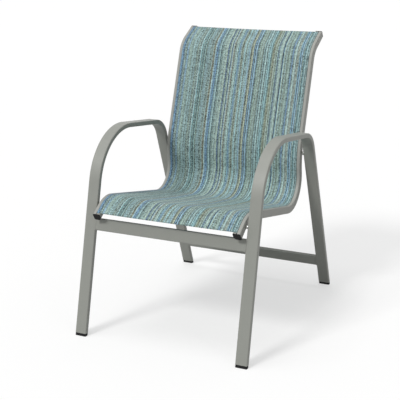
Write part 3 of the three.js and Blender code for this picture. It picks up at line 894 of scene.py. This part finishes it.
def coated(name, group, values, shine, relief):
    """A finish that takes its colour, roughness and relief from a group"""
    material, tree, shader = plain_material(name)
    shader.inputs["Specular IOR Level"].default_value = shine
    coat = place_group(tree, group, values)
    feed(tree, shader, {"Base Color": coat["Colour"], "Roughness": coat["Roughness"]})
    bumped(tree, shader, coat["Height"], relief)
    return material


def painted(name, group, tint, shine):
    return coated(name, group, {"Colour": tint, **PAINT_STRENGTHS}, shine, PAINT_BUMP)


def moulded(name, group, tint, dust_share):
    return coated(name, group, {"Colour": tint, "Dust": dust_share}, MOULDING_SHINE, MOULDING_BUMP)


def plated_steel():
    material, tree, shader = plain_material("zinc_plated_steel", STEEL_ROUGHNESS, metallic=1.0)
    spangle = pitted(tree, object_place(tree), SPANGLE_SCALE)
    ramp = tree.nodes.new("ShaderNodeValToRGB")
    for element, tint in zip(ramp.color_ramp.elements, ZINC_COLOURS):
        element.color = colour(*tint)
    feed(tree, ramp, {"Fac": spangle})
    feed(tree, shader, {"Base Color": ramp.outputs["Color"]})
    bumped(tree, shader, spangle, STEEL_BUMP)
    return material


def stripe_ramp(tree, across, stripes, start, width):
    """Stripes from a start place over a width, as a stepped colour ramp"""
    passed, steps = 0.0, []
    for yarn, size in stripes:
        steps.append((passed / width, yarn))
        passed += size * MILLIMETRE
    share = math_node(tree, "DIVIDE", math_node(tree, "SUBTRACT", across, start), width)
    return stepped_colours(tree, share, steps)


def sling_material(group):
    material, tree, shader = plain_material("striped_sling_weave", CLOTH_ROUGHNESS)
    shader.inputs["Sheen Weight"].default_value = CLOTH_SHEEN
    shader.inputs["Specular IOR Level"].default_value = CLOTH_SHINE
    cloth_place = tree.nodes.new("ShaderNodeUVMap")
    cloth_place.uv_map = "cloth"
    parts = add_node(tree, "ShaderNodeSeparateXYZ", {"Vector": cloth_place.outputs["UV"]})
    across, along = parts["X"], parts["Y"]
    total = sum(size for _, size in STRIPES) * MILLIMETRE
    first, second = STRIPES[:STRIPES_PER_RAMP], STRIPES[STRIPES_PER_RAMP:]
    first_width = sum(size for _, size in first) * MILLIMETRE
    left = stripe_ramp(tree, across, first, -total / 2, first_width)
    right = stripe_ramp(tree, across, second, -total / 2 + first_width, total - first_width)
    past = math_node(tree, "GREATER_THAN", across, -total / 2 + first_width)
    stripe = mix_colours(tree, past, left, right)
    weave = place_group(tree, group, {"Stripe": stripe, "Across": across, "Along": along, **WEAVE_STRENGTHS})
    feed(tree, shader, {"Base Color": weave["Colour"]})
    bumped(tree, shader, weave["Height"], WEAVE_BUMP)
    return material


def thread_material():
    material, tree, shader = plain_material("hem_thread", THREAD_ROUGHNESS)
    twist = clouded(tree, object_place(tree), TWIST_SCALE, TWIST_DETAIL)
    dark, pale = (colour(*tint) for tint in THREAD_COLOURS)
    feed(tree, shader, {"Base Color": mix_colours(tree, twist, dark, pale)})
    return material


# Pieces made here

def bolt_place(label, end):
    low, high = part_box(f"{label}_{end}_rail_bolt")
    return (low.y + high.y) / 2, (low.z + high.z) / 2


def pin_place(node):
    """Where a spreader plug's pin enters the rail, from the points at the pin's end"""
    points = [vertex.co for vertex in frame["nodes"][node].data.vertices]
    reach = max(abs(point.x) for point in points)
    tip = [point for point in points if abs(point.x) > reach - HEM_GAP]
    ys, zs = [point.y for point in tip], [point.z for point in tip]
    return (min(ys) + max(ys)) / 2, (min(zs) + max(zs)) / 2


def make_sling_rail(label, side):
    line = rail_line(BEND_STEP, RUN_STEP)
    rail = swept(f"{label}_sling_rail_bent", rail_section(), line, RAIL_CENTRE, side)
    centre, inside, outside = side * RAIL_CENTRE, side * RAIL_INSIDE, side * (RAIL_CENTRE + RAIL_WIDTH / 2)
    stop, overrun = side * HOLE_STOP, side * HOLE_OVERRUN
    holes = []
    for end in ("front", "rear"):
        y, z = bolt_place(label, end)
        holes.append((BOLT_HOLE_RADIUS, centre + stop, outside + overrun, y, z))
        holes.append((ACCESS_HOLE_RADIUS, inside - overrun, centre - stop, y, z))
    for bar in ("seat", "back"):
        y, z = pin_place(f"{label}_{bar}_spreader_plug")
        holes.append((PIN_HOLE_RADIUS, inside - overrun, centre - stop, y, z))
    return crisp(bored(rail, holes))


def make_rail_cap(label, side, at_top):
    """A moulded cap: a plate with a rounded rim over the rail's end, and a plug in its chamber"""
    place, heading = rail_line(BEND_STEP, RUN_STEP)[-1 if at_top else 0]
    ahead = heading_vector(heading) * (1 if at_top else -1)
    name = f"{label}_rail_{'top' if at_top else 'front'}_cap_moulded"

    def run(section, first, last):
        return swept(name, (section,), [(place + ahead * first, heading), (place + ahead * last, heading)],
                     RAIL_CENTRE, side)

    plate = run(rail_outside(), CAP_GAP, CAP_GAP + CAP_THICKNESS)
    rim = plate.modifiers.new("rim", "BEVEL")
    rim.width = CAP_RIM
    rim.segments = CAP_RIM_STEPS
    rim.limit_method = "ANGLE"
    rim.angle_limit = math.radians(EDGE_ANGLE)
    plate = evaluated_copy(plate)
    plug = run(chamber_outline(CLOTH_CLEARANCE), -CAP_PLUG_LENGTH, CAP_GAP + CAP_THICKNESS / 2)
    return crisp(combined(plate, plug, "UNION"))


def make_welt_rod(label, side):
    """A round rod in the cloth's loop, on the cloth's own stations so that the two never cross"""
    ring = arc_points(0, CHANNEL_HEIGHT, WELT_RADIUS, 0, 360, WELT_SIDES)[:-1]
    line = [(place, heading) for place, heading, _, _ in cloth_line()]
    rod = swept(f"{label}_welt_rod_round", (ring,), line, RAIL_CENTRE, side)
    return crisp(rod)


def make_side_frame(label, side):
    section = tube_section(TUBE_WIDTH, TUBE_DEPTH, TUBE_WALL, TUBE_CORNER)
    tube = swept(f"{label}_side_frame_bent", section, frame_line(), FRAME_CENTRE, side)
    cut_level(tube, SOLE_HEIGHT)
    inside, overrun = side * LEG_INSIDE, side * HOLE_OVERRUN
    holes = []
    for end in ("front", "rear"):
        y, z = bolt_place(label, end)
        holes.append((INSERT_HOLE_RADIUS, inside - overrun, inside + overrun, y, z))
    return crisp(bored(tube, holes))


def make_spreader_bar(label):
    """A flat bar that dips in its middle, across the chair at the slope of the rails where its pins enter"""
    half, slope = RAIL_INSIDE - BAR_SHOULDER, math.radians(BAR_SLOPE)
    reach = BAR_END_RUN + 2 * BAR_BEND_RADIUS * math.sin(slope) + BAR_SLOPE_RUN * math.cos(slope)
    down, level, up = (("bend", BAR_BEND_RADIUS, angle) for angle in (-BAR_SLOPE, 0, BAR_SLOPE))
    end, leg = ("run", BAR_END_RUN), ("run", BAR_SLOPE_RUN)
    moves = (end, down, leg, level, ("run", 2 * (half - reach)), up, leg, level, end)
    section = tube_section(BAR_WIDTH, BAR_DEPTH, BAR_WALL, BAR_CORNER)
    line = bent_line((-half, 0), 0, moves, BEND_STEP, RUN_STEP)
    bar = swept(f"{label}_spreader_bar_bowed", section, line, 0, 1)
    pin = Vector(pin_place(f"left_{label}_spreader_plug"))
    _, heading = min(rail_line(BEND_STEP, BEND_STEP), key=lambda station: (station[0] - pin).length)
    across = Matrix.Rotation(heading, 4, "X") @ Matrix.Rotation(math.pi / 2, 4, "Z")
    bar.data.transform(Matrix.Translation((0, pin.x, pin.y)) @ across)
    return crisp(bar)


def edge_line(name, points, closed):
    count = len(points)
    edges = [(i, (i + 1) % count) for i in range(count if closed else count - 1)]
    mesh = bpy.data.meshes.new(name)
    mesh.from_pydata(points, edges, [])
    return new_object(name, mesh)


def station_at(length):
    """The cloth's station at a length from its front end"""
    line = cloth_line()
    for before, after in zip(line, line[1:]):
        if length <= after[3]:
            blend = (length - before[3]) / (after[3] - before[3])
            return tuple(a + (b - a) * blend for a, b in zip(before, after))
    return line[-1]


def hem_stations(inset, reach, at_top):
    total = cloth_line()[-1][3]
    lengths = [inset + (reach - inset) * index / HEM_ROWS for index in range(HEM_ROWS + 1)]
    return [station_at(total - length if at_top else length) for length in lengths]


def hem_places(half):
    """Places across the cloth, evenly from one side to the other"""
    return [half * (2 * col / HEM_COLUMNS - 1) for col in range(HEM_COLUMNS + 1)]


def make_hem(name, at_top):
    """The cloth turned under at a free end, lying on its underside"""
    height = RAIL_DEPTH / 2 + CLOTH_CLEARANCE - HEM_GAP - CLOTH_THICKNESS / 2
    stations, xs = hem_stations(HEM_INSET, HEM_REACH, at_top), hem_places(RAIL_INSIDE - HEM_INSET)
    vertices = [surface_point(station, x, height) for station in stations for x in xs]
    return woven_sheet(name, vertices, xs, [station[3] for station in stations])


def make_seam(name, tree, at_top, lift, thread):
    """The row of stitches that holds a hem, on one face of the cloth"""
    station = hem_stations(HEM_SEAM, HEM_REACH, at_top)[0]
    points = [surface_point(station, x, lift) for x in hem_places(RAIL_INSIDE - HEM_INSET - STITCH_PITCH)]
    row = run_tree(edge_line(name, points, False), tree, {
        "Pitch": STITCH_PITCH, "Length": STITCH_LENGTH, "Radius": STITCH_RADIUS, "Material": thread,
    })
    smooth(row.data)
    return row


def rail_loop(y, z, lean, side):
    """The outline of a cross rail's end, a little inside its wide faces, where it meets the leg"""
    points, turn = [], Matrix.Rotation(lean, 2)
    for w, d in tube_outline(TUBE_WIDTH, TUBE_DEPTH - 2 * BEAD_SINK, TUBE_CORNER, BEAD_CORNER_STEPS):
        flat = turn @ Vector((d, w))
        points.append(Vector((side * LEG_INSIDE, y + flat.x, z + flat.y)))
    return points


def make_weld(name, tree, node, lean, side, paint):
    low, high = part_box(node)
    y, z = (low.y + high.y) / 2, (low.z + high.z) / 2
    bead = run_tree(edge_line(name, rail_loop(y, z, lean, side), True), tree, {
        "Step": BEAD_STEP, "Radius": BEAD_RADIUS, "Ripple": BEAD_RIPPLE_SHARE, "Material": paint,
    })
    recalculated(bead.data)
    smooth(bead.data)
    return bead


# Stage

CAMERA_PLACE = (1.3321, -2.8944, 1.2813)
CAMERA_TILT = 77.531
CAMERA_TURN = 25.282
FOCAL_PIXELS = 961.205
PICTURE_PIXELS = 400
SENSOR_WIDTH = 36
CENTRE_ACROSS_PIXELS = 202.497
CENTRE_DOWN_PIXELS = 147.548
CAMERA_REACH = 50

WHITE = (1, 1, 1, 1)
FLOOR_REACH = 60
FLOOR_GLOW = 0.54
FLOOR_BOUNCE = colour(190, 190, 190)
FLOOR_SEEN = colour(250, 250, 250)
FILL_STRENGTH = 0.46
SEEN_STRENGTH = 1
LAMP_DISTANCE = 5
# Lamps, as (name, azimuth that the light comes from, its height, strength, spread, tint)
LAMPS = (
    ("key", 249, 44, 1.62, 14, (1, 0.995, 0.985)),
    ("overhead", 200, 78, 0.73, 25, (1, 1, 1)),
    ("side", -27, 42, 0.05, 10, (1, 1, 1)),
)


def make_camera():
    camera = new_object("camera", bpy.data.cameras.new("camera"))
    camera.location = CAMERA_PLACE
    camera.rotation_euler = (math.radians(CAMERA_TILT), 0, math.radians(CAMERA_TURN))
    camera.data.sensor_width = SENSOR_WIDTH
    camera.data.lens = FOCAL_PIXELS / PICTURE_PIXELS * SENSOR_WIDTH
    camera.data.shift_x = (PICTURE_PIXELS / 2 - CENTRE_ACROSS_PIXELS) / PICTURE_PIXELS
    camera.data.shift_y = (CENTRE_DOWN_PIXELS - PICTURE_PIXELS / 2) / PICTURE_PIXELS
    camera.data.clip_end = CAMERA_REACH
    bpy.context.scene.camera = camera


def seen_directly(tree):
    """1 for what the camera sees, also in gloss and through what lets light pass"""
    path = add_node(tree, "ShaderNodeLightPath", {})
    seen = math_node(tree, "MAXIMUM", path["Is Camera Ray"], path["Is Glossy Ray"])
    return math_node(tree, "MAXIMUM", seen, path["Is Transmission Ray"])


def make_floor():
    mesh = bpy.data.meshes.new("floor")
    corners = [(x * FLOOR_REACH, y * FLOOR_REACH, 0) for x, y in ((-1, -1), (1, -1), (1, 1), (-1, 1))]
    mesh.from_pydata(corners, [], [(0, 1, 2, 3)])
    floor = new_object("floor", mesh)
    material, tree, shader = plain_material("studio_floor", FLOOR_ROUGHNESS)
    shader.inputs["Specular IOR Level"].default_value = 0
    seen = seen_directly(tree)
    feed(tree, shader, {"Base Color": mix_colours(tree, seen, FLOOR_BOUNCE, FLOOR_SEEN)})
    glow = add_node(tree, "ShaderNodeEmission", {"Color": WHITE})
    mix = add_node(tree, "ShaderNodeMixShader", {
        "Fac": math_node(tree, "MULTIPLY", seen, FLOOR_GLOW),
        1: shader.outputs["BSDF"], 2: glow["Emission"],
    })
    feed(tree, tree.nodes["Material Output"], {"Surface": mix["Shader"]})
    floor.data.materials.append(material)


def make_sun(name, azimuth, elevation, strength, spread, tint):
    """A broad far lamp. The azimuth is where its light comes from, in degrees from +X"""
    data = bpy.data.lights.new(name, "SUN")
    data.energy = strength
    data.angle = math.radians(spread)
    data.color = tint
    lamp = new_object(name, data)
    turn, lift = math.radians(azimuth), math.radians(elevation)
    toward = Vector((math.cos(turn) * math.cos(lift), math.sin(turn) * math.cos(lift), math.sin(lift)))
    lamp.location = toward * LAMP_DISTANCE
    lamp.rotation_euler = (-toward).to_track_quat("-Z", "Y").to_euler()


def make_world():
    world = bpy.data.worlds.new("studio")
    bpy.context.scene.world = world
    world.use_nodes = True
    tree = world.node_tree
    tree.nodes.clear()
    fill, white = (add_node(tree, "ShaderNodeBackground", {"Color": WHITE, "Strength": strength})
                   for strength in (FILL_STRENGTH, SEEN_STRENGTH))
    mix = add_node(tree, "ShaderNodeMixShader", {
        "Fac": seen_directly(tree), 1: fill["Background"], 2: white["Background"],
    })
    add_node(tree, "ShaderNodeOutputWorld", {"Surface": mix["Shader"]})


# Putting the chair together

make_camera()
make_floor()
make_world()
for lamp in LAMPS:
    make_sun(*lamp)

powder, plastic = powder_group(), moulded_group()
FINISHES = {
    "frame_paint": painted("frame_powder_coat", powder, colour(*FRAME_COLOUR), FRAME_SHINE),
    "rail_paint": painted("rail_powder_coat", powder, colour(*RAIL_COLOUR), RAIL_SHINE),
    "black_plastic": moulded("black_moulding", plastic, colour(*BLACK_COLOUR), BLACK_DUST_SHARE),
    "grey_nylon": moulded("grey_nylon_moulding", plastic, colour(*NYLON_COLOUR), NYLON_DUST_SHARE),
    "welt_plastic": moulded("welt_extrusion", plastic, colour(*WELT_COLOUR), WELT_DUST_SHARE),
    "bright_steel": plated_steel(),
    "sling_cloth": sling_material(weave_group()),
}


def give_finish(mesh, slot):
    mesh.materials.clear()
    mesh.materials.append(FINISHES[slot])


for entry in frame["record"]["subparts"]:
    give_finish(frame["nodes"][entry["node"]].data, entry["material_slot"])

for side, label in SIDES:
    for piece, node, slot in (
        (make_side_frame(label, side), f"{label}_side_frame", "frame_paint"),
        (make_sling_rail(label, side), f"{label}_sling_rail", "rail_paint"),
        (make_rail_cap(label, side, False), f"{label}_rail_front_cap", "black_plastic"),
        (make_rail_cap(label, side, True), f"{label}_rail_top_cap", "black_plastic"),
        (make_welt_rod(label, side), f"{label}_welt_rod", "welt_plastic"),
    ):
        give_finish(piece.data, slot)
        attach(piece, "root")
        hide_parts(node)

for label in ("seat", "back"):
    bar = make_spreader_bar(label)
    give_finish(bar.data, "frame_paint")
    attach(bar, "root")
    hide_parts(f"{label}_spreader_bar")

cloth, flat_size = make_cloth()
give_finish(cloth.data, "sling_cloth")
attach(cloth, "root")
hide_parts("sling_cloth")

stitches, hem_thread, sewn_on = stitch_tree(), thread_material(), []
top_face = RAIL_DEPTH / 2 + CLOTH_CLEARANCE + CLOTH_THICKNESS
hem_face = RAIL_DEPTH / 2 + CLOTH_CLEARANCE - HEM_GAP - CLOTH_THICKNESS
for at_top, label in ((False, "front"), (True, "top")):
    pieces = [make_hem(f"{label}_hem", at_top)]
    give_finish(pieces[0].data, "sling_cloth")
    for lift, face in ((top_face, "upper"), (hem_face, "under")):
        pieces.append(make_seam(f"{label}_hem_stitches_{face}", stitches, at_top, lift, hem_thread))
    for piece in pieces:
        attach(piece, "root")
    sewn_on += pieces

beads, weld_paint = bead_tree(), FINISHES["frame_paint"]
for node, lean in (("front_cross_rail", -FRONT_LEG_LEAN), ("rear_cross_rail", REAR_LEG_RAKE)):
    for side, label in SIDES:
        weld = make_weld(f"{label}_{node}_weld", beads, node, math.radians(lean), side, weld_paint)
        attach(weld, "root")

bpy.context.scene.view_settings.view_transform = "Standard"
